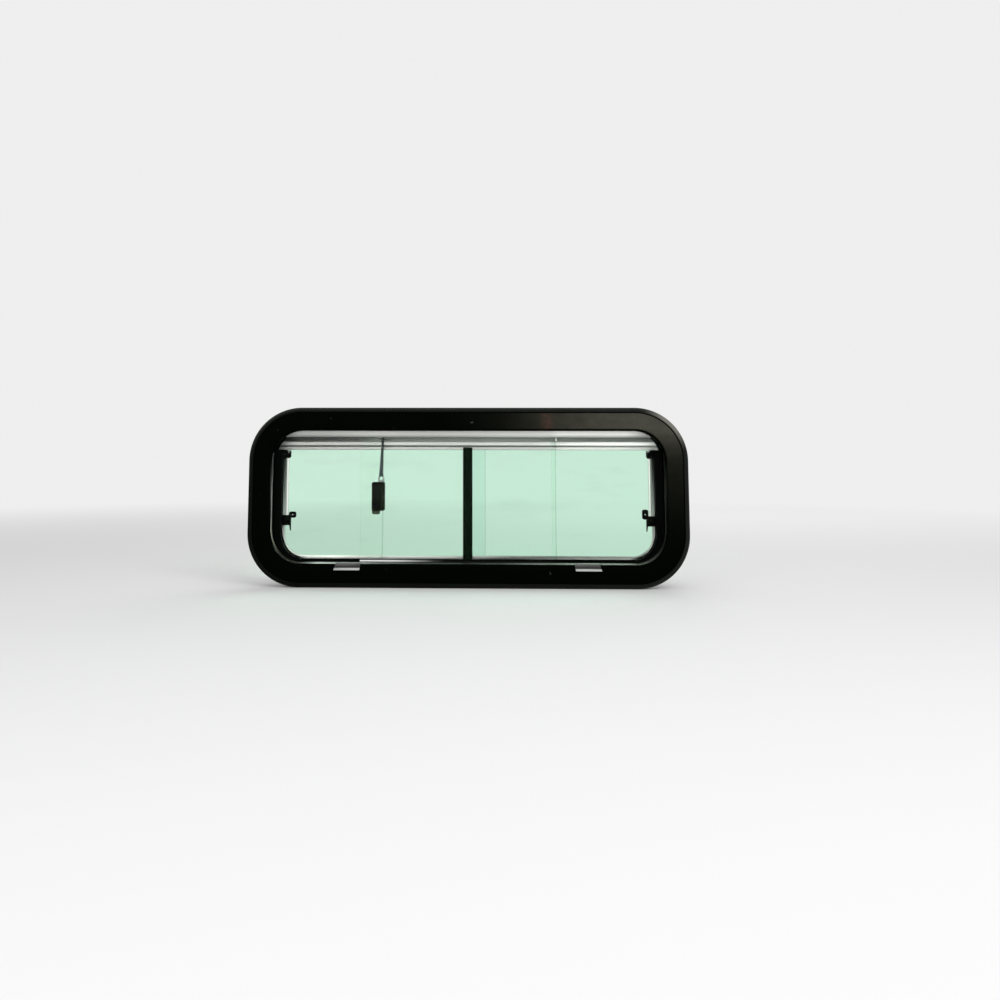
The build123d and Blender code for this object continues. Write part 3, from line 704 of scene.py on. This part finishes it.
def head_rail_tone(tree):
    """Painted light and shade: the front rail is darker to the left, low on its face and at its lip
    on the right.
    """
    x = axis_value(tree, "X")
    z = from_middle(tree)
    along = ramp(
        tree, x, (-0.30, 0.34), (-0.24, 0.38), (-0.20, 0.44), (-0.16, 0.49), (-0.05, 0.50),
        (0.06, 0.66), (0.11, 0.74), (0.144, 0.80), (0.160, 0.97), (0.275, 1.03), (0.315, 0.58))
    down = ramp(
        tree, z, (0.1035, 1.0), (0.1052, 0.95), (0.1065, 0.76), (0.1082, 0.90), (0.1095, 1.0))
    lip = times(tree, remap(tree, z, 0.1060, 0.1072, 0.26, 0.0), remap(tree, x, 0.13, 0.17))
    return times(tree, along, down, less(tree, lip))


def middle_rail_tone(tree):
    """Painted light and shade: the middle rail is brightest on the right, with painted shade on its
    lower edge.
    """
    along = ramp(
        tree, axis_value(tree, "X"), (-0.30, 0.32), (-0.20, 0.38), (-0.12, 0.44), (-0.04, 0.44),
        (0.06, 0.52), (0.11, 0.59), (0.17, 0.74), (0.24, 0.90), (0.31, 0.90))
    down = ramp(tree, from_middle(tree), (0.0889, 0.75), (0.0896, 0.92), (0.0906, 1.0))
    return times(tree, along, down)


def lower_rail_tone(tree):
    """Painted light and shade: the lower rail is lighter to the right, with painted shade in the
    groove over it, most of it on the left.
    """
    x = axis_value(tree, "X")
    along = ramp(
        tree, x, (-0.30, 0.31), (-0.20, 0.36), (-0.12, 0.43), (0.06, 0.46), (0.14, 0.51),
        (0.17, 0.64), (0.24, 0.68), (0.31, 0.66))
    down = ramp(
        tree, from_middle(tree), (0.0811, 0.72), (0.0828, 0.92), (0.0858, 1.0), (0.0864, 0.45))
    down = combine(tree, "MAXIMUM", down, remap(tree, x, -0.02, 0.24, 0.0, 0.62))
    return times(tree, along, down)


def web_tone(tree):
    """Painted light on the recessed web behind the front rail: lighter to the right and at its
    foot.
    """
    along = ramp(
        tree, axis_value(tree, "X"), (-0.30, 0.24), (-0.24, 0.32), (-0.20, 0.42), (-0.16, 0.74),
        (-0.08, 0.84), (0.06, 1.22), (0.12, 1.28), (0.30, 1.14))
    foot = ramp(tree, from_middle(tree), (0.0975, 1.2), (0.0995, 0.96), (0.1035, 0.90))
    return times(tree, along, foot)


def shoe_tone(tree):
    """The shoe is bright at its left end and nearly black further along and on top."""
    along = ramp(
        tree, axis_value(tree, "X"), (-0.19, 1.15), (-0.125, 1.08), (-0.09, 0.50), (-0.06, 0.08),
        (-0.04, 0.012), (0.16, 0.008))
    return times(tree, along, remap(tree, from_middle(tree), -0.1108, -0.1114, 0.12, 1.0))


def hood_tone(tree):
    """The drop is painted in its own shade, with painted shade in the crease above the bright lip.
    """
    return ramp(
        tree, from_middle(tree), (-0.1255, 0.56), (-0.1214, 0.48), (-0.1204, 0.05),
        (-0.1190, 0.03), (-0.1180, 0.04), (-0.1135, 0.10), (-0.1125, 0.20))


def satin_black(name, base=(0.0012, 0.0018, 0.0014), roughness=0.42, specular=0.02, dusty=0.0006):
    """Satin black paint with faint dust."""
    material, tree, shader = new_finish(name, base, roughness, specular=specular)
    dust = remap(tree, pattern(tree, 45, 6, 0.65), 0.45, 0.8, 0.0, 0.8)
    grey = (base[0] + dusty, base[1] + dusty * 1.05, base[2] + dusty)
    coloured(tree, shader, blend_colour(tree, dust, base, grey))
    roughened(tree, shader, pattern(tree, 120, 4), roughness - 0.06, roughness + 0.12)
    bumped(tree, shader, pattern(tree, 1300, 2), 0.00004, 0.45)
    return material


def moulded_plastic(name, base, roughness=0.48, specular=0.3):
    """Moulded plastic with a fine spark texture and rubbed high spots."""
    material, tree, shader = new_finish(name, base, roughness, specular=specular)
    grain = pattern(tree, 2400, 3, 0.6)
    worn = remap(tree, pattern(tree, 150, 5, 0.6), 0.45, 0.75, 0.0, 0.55)
    lighter = tuple(min(1.0, value * 2.1 + 0.0004) for value in base)
    coloured(tree, shader, blend_colour(tree, worn, base, lighter))
    roughened(tree, shader, grain, roughness - 0.05, roughness + 0.12)
    bumped(tree, shader, grain, 0.00005, 0.6)
    return material


def glazing_rubber(name, base=(0.0007, 0.0011, 0.0008)):
    """Dull black extruded rubber with fine die lines."""
    material, tree, shader = new_finish(name, base, 0.6, specular=0.02)
    lines = pattern(tree, 900, 4, 0.6, (0.05, 1, 1))
    bloom = remap(tree, pattern(tree, 30, 5, 0.6), 0.4, 0.75, 0.0, 0.8)
    lighter = tuple(value * 2.0 + 0.0004 for value in base)
    coloured(tree, shader, blend_colour(tree, bloom, base, lighter))
    roughened(tree, shader, lines, 0.55, 0.7)
    bumped(tree, shader, lines, 0.00006, 0.6)
    return material


def tinted_glass(name, tint, smear=0.035, clear_until=None, line=None):
    """Tinted glass with faint wiping smears. Where one pane laps behind another, up to a place
    along X, it's nearly clear, so that the two don't darken each other. A line along X is where
    the pane ends and its rounded arris looks darker."""
    material, tree, shader = new_finish(name, tint, 0.0)
    shader.inputs["Transmission Weight"].default_value = 1.0
    shader.inputs["IOR"].default_value = 1.07
    passed = tree.nodes.new("ShaderNodeBsdfTransparent")
    passed.inputs["Color"].default_value = (*tint, 1)
    wiped = pattern(tree, 9, 5, 0.62, (1, 1, 3.2), (0.2, 0, 0.6))
    cloudy = remap(tree, wiped, 0.52, 0.80)
    milky = tuple(value * 0.93 for value in tint)
    base = blend_colour(tree, times(tree, cloudy, 0.6), tint, milky)
    if clear_until is not None:
        lapped = remap(tree, axis_value(tree, "X"), clear_until + 0.0001, clear_until - 0.0001)
        base = blend_colour(tree, lapped, base, (0.87, 0.945, 0.915))
    if line is not None:
        # Painted shade: the tint darkens along the pane's end, standing in for its rounded arris
        # bending the light.
        arris = remap(tree, distance(tree, axis_value(tree, "X"), line), 0.0009, 0.0006)
        base = blend_colour(tree, arris, base, tuple(value * 0.80 for value in tint))
    if clear_until is not None or line is not None:
        tree.links.new(base, passed.inputs["Color"])
    coloured(tree, shader, base)
    tree.links.new(times(tree, cloudy, smear), shader.inputs["Roughness"])
    rays = tree.nodes.new("ShaderNodeLightPath")
    mixed(
        tree, rays.outputs["Is Shadow Ray"], shader.outputs["BSDF"], passed.outputs["BSDF"],
        "Material Output")
    return material


def glass_edge(name, base):
    """The ground edge of a pane, green and dull."""
    material, tree, shader = new_finish(name, base, 0.35)
    shader.inputs["Transmission Weight"].default_value = 0.35
    shader.inputs["IOR"].default_value = 1.5
    deeper = tuple(value * 0.7 for value in base)
    share = remap(tree, pattern(tree, 60, 4), 0.35, 0.7)
    coloured(tree, shader, blend_colour(tree, share, base, deeper))
    roughened(tree, shader, pattern(tree, 1500, 3, 0.6), 0.28, 0.5)
    return material


def woven_webbing():
    """Grey webbing with a fine weave and patches of dust."""
    material, tree, shader = new_finish("woven webbing", (0.04, 0.05, 0.053), 0.85, specular=0.05)
    coordinates = tree.nodes.new("ShaderNodeTexCoord")
    weave = tree.nodes.new("ShaderNodeTexChecker")
    weave.inputs["Scale"].default_value = 1400
    weave.inputs["Color1"].default_value = (0.048, 0.060, 0.064, 1)
    weave.inputs["Color2"].default_value = (0.030, 0.040, 0.042, 1)
    tree.links.new(coordinates.outputs["Object"], weave.inputs["Vector"])
    worn = remap(tree, pattern(tree, 120, 5, 0.6), 0.4, 0.75, 0.0, 0.5)
    base = blend_colour(tree, worn, weave.outputs["Color"], (0.075, 0.088, 0.088))
    coloured(tree, shader, base)
    bumped(tree, shader, weave.outputs["Fac"], 0.00015, 0.6)
    return material


def closed_foam():
    """Closed-cell foam with fine pores."""
    material, tree, shader = new_finish("closed foam", (0.035, 0.036, 0.035), 0.85, specular=0.2)
    pores = pattern(tree, 1100, 4, 0.7)
    share = remap(tree, pores, 0.35, 0.65)
    base = blend_colour(tree, share, (0.018, 0.018, 0.018), (0.05, 0.05, 0.048))
    coloured(tree, shader, base)
    bumped(tree, shader, pores, 0.0002, 0.8)
    return material


def zinc_steel():
    """Zinc plated screws, slightly yellowed and scratched."""
    material, tree, shader = new_finish("zinc steel", (0.62, 0.61, 0.56), 0.32, metallic=1.0)
    tone = remap(tree, pattern(tree, 350, 4, 0.6), 0.35, 0.7)
    coloured(tree, shader, blend_colour(tree, tone, (0.66, 0.66, 0.63), (0.50, 0.47, 0.38)))
    scratch = pattern(tree, 2600, 3, 0.6, (1, 1, 0.15))
    roughened(tree, shader, scratch, 0.25, 0.45)
    bumped(tree, shader, scratch, 0.00002, 0.5)
    return material


def dress(node, material):
    """Give a CAD node its finish."""
    piece = frame["nodes"][node]
    if not piece.material_slots:
        piece.data.materials.append(material)
    for place in piece.material_slots:
        place.material = material


# Pieces
class WINDOW_OT_frame(bpy.types.Operator):
    """Black frame: flange, reveal and screw port in one pressed section"""
    bl_idname = "window.frame"
    bl_label = "Frame"

    def execute(self, context):
        ring = swept_ring(FRAME_SECTION)
        soften(ring, context.scene.window_sizes.edge_soft, 2)
        smooth(ring)
        finish_piece(
            ring, "pressed_frame", "frame_black", powder_coat(), "outer_frame", "frame_reveal")
        return {"FINISHED"}


class WINDOW_OT_rim(bpy.types.Operator):
    """Soft rubber rim round the flange, and the foam gasket behind it"""
    bl_idname = "window.rim"
    bl_label = "Rim and gasket"

    def execute(self, context):
        ring = swept_ring(RIM_SECTION)
        smooth(ring, 40)
        finish_piece(ring, "rubber_rim", "rim_rubber", rim_rubber(), "rim_seal")
        foam = swept_ring(GASKET_SECTION)
        smooth(foam)
        finish_piece(foam, "foam_gasket", "gasket_foam", closed_foam(), "wall_gasket")
        return {"FINISHED"}


class WINDOW_OT_liner(bpy.types.Operator):
    """Bright liner in the reveal, with a rolled front edge, cut off below the head"""
    bl_idname = "window.liner"
    bl_label = "Sill liner"

    def execute(self, context):
        ring = swept_ring(LINER_SECTION)
        cut_away(ring, (0, 0, CENTRE_Z + LINER_TOP), (0, 0, 1))
        smooth(ring)
        silver = drawn_silver("liner silver", along=False, dirt=0.4, tone=liner_tone)
        finish_piece(ring, "bright_liner", "liner_silver", silver, "sill_liner")
        return {"FINISHED"}


class WINDOW_OT_glazing(bpy.types.Operator):
    """Black channel, and the three front panes with their ground edges"""
    bl_idname = "window.glazing"
    bl_label = "Channel and panes"

    def execute(self, context):
        rubber = glazing_rubber("channel rubber")
        dress("glazing_channel", rubber)
        dress("head_channel", rubber)
        edge = glass_edge("ground edge", (0.16, 0.30, 0.24))
        left = tinted_glass("left glass", (0.98, 0.995, 0.98), line=LEFT_PANE_END)
        right = tinted_glass("right glass", (0.97, 0.995, 0.975))
        middle = tinted_glass(
            "sliding glass", context.scene.window_colours.glass_tint, line=SLIDING_PANE_END)
        for node, name, glass in (
            ("left_fixed_pane", "left_pane", left), ("right_fixed_pane", "right_pane", right),
            ("sliding_pane", "middle_pane", middle),
        ):
            add_pane(node, 0.35, name, "pane_tinted", glass, edge)
        dress("sliding_shoe", drawn_silver("shoe silver", 1.15, tone=shoe_tone))
        finish_piece(
            block(*EDGE_STRIP, 0.2, 1), "pane_edge_strip", "pane_tinted",
            tinted_glass("clear strip", (0.93, 0.99, 0.96), 0.5))
        finish_piece(
            block(*TOP_GUIDE, 0.7, 3), "pane_top_guide", "loop_plastic",
            moulded_plastic("pale guide", (0.62, 0.68, 0.62), 0.35))
        return {"FINISHED"}


class WINDOW_OT_rails(bpy.types.Operator):
    """Silver rails at the head"""
    bl_idname = "window.rails"
    bl_label = "Head rails"

    def execute(self, context):
        # The web's low tint is painted shade in its recess behind the front rail.
        for node, name, tint, dirt, tone in (
            ("head_rail", "front rail silver", 1.2, 0.2, head_rail_tone),
            ("head_web", "web silver", 0.30, 0.4, web_tone),
            ("middle_rail", "middle rail silver", 1.25, 0.1, middle_rail_tone),
            ("lower_rail", "lower rail silver", 1.2, 0.2, lower_rail_tone),
        ):
            dress(node, drawn_silver(name, tint, dirt=dirt, tone=tone))
        return {"FINISHED"}


class WINDOW_OT_screen(bpy.types.Operator):
    """Inner frame, silver rim, mullion, inner panes and their bead"""
    bl_idname = "window.screen"
    bl_label = "Inner screen"

    def execute(self, context):
        dress("inner_frame", satin_black("inner wall black"))
        dress("inner_rim", drawn_silver("rim silver", 1.2, False, 0.2, tone=rim_tone))
        eased_piece(
            "centre_mullion", 0.5, 2, "mullion_bar", "mullion_black",
            satin_black("mullion black", (0.0008, 0.0040, 0.0011), 0.38, 0.015))
        tint = context.scene.window_colours.screen_tint
        whole = tinted_glass("inner glass", tint, 0.02, line=INNER_PANE_END)
        lapped = tinted_glass("lapped glass", tint, 0.02, clear_until=LAP_END)
        edge = glass_edge("thin edge", (0.24, 0.40, 0.33))
        add_pane("inner_left_pane", 0.3, "screen_left", "inner_clear", whole, edge)
        add_pane("inner_right_pane", 0.3, "screen_right", "inner_clear", lapped, edge)
        eased_piece(
            "inner_bead", 0.8, 2, "rear_bead", "bead_rubber",
            glazing_rubber("bead rubber", (0.012, 0.012, 0.012)))
        return {"FINISHED"}


class WINDOW_OT_latch(bpy.types.Operator):
    """Latch on the left pane's edge, with its ribbed lever and pull loop"""
    bl_idname = "window.latch"
    bl_label = "Latch"

    def execute(self, context):
        black = moulded_plastic("latch black", (0.005, 0.0072, 0.0036), 0.5, 0.03)
        olive = moulded_plastic("lever olive", (0.050, 0.056, 0.036), 0.5, 0.1)
        grey = moulded_plastic("loop grey", (0.20, 0.23, 0.22))
        eased_piece("latch_clip", 0.7, 3, "latch_body", "latch_plastic", black)
        eased_piece("latch_lever", 0.8, 3, "latch_thumb_lever", "latch_lever_plastic", olive)
        eased_piece("latch_loop", 0.6, 3, "latch_pull_loop", "loop_plastic", grey)
        eased_piece(
            "latch_strap", 0.35, 2, "latch_pull_strap", "strap_webbing", woven_webbing())
        low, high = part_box("latch_lever")
        foot = (low.z - CENTRE_Z) / MM + RIB_START
        ribs = []
        for number in range(context.scene.window_sizes.grip_ribs):
            height = foot + number * RIB_PITCH
            ribs.append(block(
                (low.x / MM + RIB_INSET, high.y / MM - RIB_SUNK, height),
                (high.x / MM - RIB_INSET, high.y / MM + RIB_RISE, height + RIB_HEIGHT), 0.45, 2))
        finish_piece(
            join(*ribs), "latch_grip_ribs", "latch_lever_plastic",
            moulded_plastic("rib olive", (0.055, 0.062, 0.045)))
        pin = cylinder(
            40, PIN_RADIUS, PIN_LENGTH,
            ((low.x + high.x) / 2, high.y + PIN_EASE, high.z - PIN_DROP))
        soften(pin, PIN_EASE, 3)
        smooth(pin)
        finish_piece(pin, "latch_pivot_pin", "screw_steel", zinc_steel())
        return {"FINISHED"}


class WINDOW_OT_stays(bpy.types.Operator):
    """Side stays: cap, bright tube, clamp and knob at each side"""
    bl_idname = "window.stays"
    bl_label = "Side stays"

    def execute(self, context):
        black = moulded_plastic("stay black", (0.0010, 0.0015, 0.0010), 0.45, 0.02)
        tube = drawn_silver("bright tube", 0.80, False, 0.05, 0.3)
        for side in ("left", "right"):
            for part, name, ease in (
                ("cap", "top_cap", 0.8), ("clamp", "jaw", 0.6), ("knob", "thumb_knob", 0.7),
            ):
                eased_piece(
                    f"{side}_stay_{part}", ease, 3, f"{side}_stay_{name}", "stay_plastic", black)
            dress(f"{side}_stay_tube", tube)
        studs = join(block(*LEFT_STUD, 0.5, 3), block(*RIGHT_STUD, 0.5, 3))
        finish_piece(
            studs, "stay_cap_studs", "stay_tube", drawn_silver("stud silver", 0.3, False, 0.3))
        return {"FINISHED"}


class WINDOW_OT_hoods(bpy.types.Operator):
    """Two small bright drip hoods under the opening"""
    bl_idname = "window.hoods"
    bl_label = "Drip hoods"

    def execute(self, context):
        silver = drawn_silver("hood silver", 1.1, tone=hood_tone)
        for side in ("left", "right"):
            eased_piece(
                f"{side}_drip_hood", 0.35, 2, f"{side}_bent_hood", "hood_silver", silver)
        return {"FINISHED"}


def clamping_screw(radius):
    """One screw on the clamping ring's back, at the opening's middle, with a cross recess."""
    head = cylinder(36, radius, HEAD_HEIGHT, (0, RING_BACK + HEAD_HEIGHT / 2, CENTRE_Z))
    soften(head, HEAD_CROWN, 5)
    for turn in (0, math.pi / 2):
        deselect()
        bpy.ops.mesh.primitive_cube_add(
            size=1, location=(0, RING_BACK + HEAD_HEIGHT, CENTRE_Z), rotation=(0, turn, 0))
        blade = bpy.context.object
        blade.scale = (radius * RECESS_REACH, 2 * RECESS_DEPTH, RECESS_WIDTH)
        apply_place(blade)
        recess = head.modifiers.new("recess", "BOOLEAN")
        recess.operation = "DIFFERENCE"
        recess.solver = "EXACT"
        recess.object = blade
        apply_modifiers(head)
        bpy.data.objects.remove(blade)
    shank = cylinder(
        24, SHANK_RADIUS, SHANK_LENGTH,
        (0, RING_BACK + SHANK_SUNK - SHANK_LENGTH / 2, CENTRE_Z))
    soften(shank, SHANK_EASE, 2)
    return join(head, shank)


class WINDOW_OT_clamping(bpy.types.Operator):
    """Clamping ring on the inside of the wall, and its cross-recessed screws"""
    bl_idname = "window.clamping"
    bl_label = "Clamping ring"

    def execute(self, context):
        sizes = context.scene.window_sizes
        black = satin_black("ring black", (0.018, 0.019, 0.018), 0.45, 0.3, 0.02)
        dress("clamp_ring", black)
        dress("clamp_collar", black)
        screw = clamping_screw(sizes.screw_head / 2)
        up = sizes.opening_height / 2 + SCREW_OUT
        across = sizes.opening_width / 2 + SCREW_OUT
        run = sizes.opening_width / 2 - sizes.opening_radius - SCREW_MARGIN
        places = [(run * column / 2, side * up) for side in (-1, 1) for column in range(-2, 3)]
        places += [(-across, 0), (across, 0)]
        copies = []
        for number, (x, z) in enumerate(places):
            only(screw)
            bpy.ops.object.duplicate()
            bpy.ops.transform.rotate(
                value=SCREW_TURN * number, orient_axis="Y",
                center_override=(0, RING_BACK, CENTRE_Z))
            bpy.ops.transform.translate(value=(x, 0, z))
            copies.append(bpy.context.object)
            apply_place(copies[-1])
        bpy.data.objects.remove(screw)
        screws = join(*copies)
        smooth(screws)
        finish_piece(screws, "clamping_screws", "screw_steel", zinc_steel())
        return {"FINISHED"}


def add_floor():
    """A wide pale floor that runs into the backdrop with distance."""
    deselect()
    bpy.ops.mesh.primitive_circle_add(
        vertices=96, radius=FLOOR_RADIUS, fill_type="NGON",
        location=(0, 0, cad_box[0][2] - FLOOR_GAP))
    floor = bpy.context.object
    apply_place(floor)
    floor.name = "studio_floor"
    material, tree, shader = new_finish("pale floor", (0.78, 0.78, 0.78), 0.95, specular=0.0)
    glow = tree.nodes.new("ShaderNodeEmission")
    glow.inputs["Color"].default_value = BACKDROP
    coordinates = tree.nodes.new("ShaderNodeTexCoord")
    reach = tree.nodes.new("ShaderNodeVectorMath")
    reach.operation = "LENGTH"
    tree.links.new(coordinates.outputs["Object"], reach.inputs[0])
    far = remap(tree, reach.outputs["Value"], 0.7, 3.2, soft=True)
    mixed(
        tree, times(tree, far, seen_rays(tree)), shader.outputs["BSDF"],
        glow.outputs["Emission"], "Material Output")
    floor.data.materials.append(material)


def add_world(scene):
    """Even fill light, and the pale backdrop where it shows."""
    world = bpy.data.worlds.new("studio")
    scene.world = world
    world.use_nodes = True
    tree = world.node_tree
    fill = tree.nodes["Background"]
    fill.inputs["Color"].default_value = (1, 1, 1, 1)
    fill.inputs["Strength"].default_value = 0.45
    shown = tree.nodes.new("ShaderNodeBackground")
    shown.inputs["Color"].default_value = BACKDROP
    mixed(
        tree, seen_rays(tree), fill.outputs["Background"], shown.outputs["Background"],
        "World Output")


def add_lamps(scene):
    """Soft square lamps, all aimed at the opening's middle."""
    for name, place, size, power in LAMPS:
        lamp = bpy.data.lights.new(name, "AREA")
        lamp.shape = "SQUARE"
        lamp.size = size
        lamp.energy = power
        light = bpy.data.objects.new(name, lamp)
        scene.collection.objects.link(light)
        light.location = place
        aim = Vector((0, 0, CENTRE_Z)) - Vector(place)
        light.rotation_euler = aim.to_track_quat("-Z", "Y").to_euler()


def add_camera(scene):
    """The camera, placed as the photo's was."""
    lens = bpy.data.cameras.new("camera")
    lens.lens = LENS
    lens.sensor_width = SENSOR
    lens.sensor_fit = "HORIZONTAL"
    lens.shift_x, lens.shift_y = LENS_SHIFT
    lens.clip_start = 0.01
    camera = bpy.data.objects.new("camera", lens)
    scene.collection.objects.link(camera)
    camera.matrix_world = Matrix.Translation(CAMERA_PLACE) @ Matrix(CAMERA_TURN).to_4x4()
    scene.camera = camera


class WINDOW_OT_stage(bpy.types.Operator):
    """Pale floor, soft studio light and the camera"""
    bl_idname = "window.stage"
    bl_label = "Stage"

    def execute(self, context):
        add_floor()
        add_world(context.scene)
        add_lamps(context.scene)
        add_camera(context.scene)
        context.scene.view_settings.view_transform = "Standard"
        return {"FINISHED"}


OPERATORS = (
    WINDOW_OT_stage, WINDOW_OT_frame, WINDOW_OT_rim, WINDOW_OT_liner, WINDOW_OT_glazing,
    WINDOW_OT_rails, WINDOW_OT_screen, WINDOW_OT_latch, WINDOW_OT_stays, WINDOW_OT_hoods,
    WINDOW_OT_clamping,
)


class WINDOW_PT_panel(bpy.types.Panel):
    """Lists the window's pieces"""
    bl_idname = "WINDOW_PT_panel"
    bl_label = "Caravan window"
    bl_space_type = "VIEW_3D"
    bl_region_type = "UI"
    bl_category = "Window"

    def draw(self, context):
        for group in (context.scene.window_sizes, context.scene.window_colours):
            for name in group.__annotations__:
                self.layout.prop(group, name)
        for operator in OPERATORS:
            self.layout.operator(operator.bl_idname)


CLASSES = (WindowSizes, WindowColours, *OPERATORS, WINDOW_PT_panel)


def register():
    for item in CLASSES:
        bpy.utils.register_class(item)
    bpy.types.Scene.window_sizes = PointerProperty(type=WindowSizes)
    bpy.types.Scene.window_colours = PointerProperty(type=WindowColours)


def unregister():
    del bpy.types.Scene.window_colours
    del bpy.types.Scene.window_sizes
    for item in reversed(CLASSES):
        bpy.utils.unregister_class(item)


def main():
    register()
    for operator in OPERATORS:
        group, name = operator.bl_idname.split(".")
        getattr(getattr(bpy.ops, group), name)()


if __name__ == "__main__":
    main()
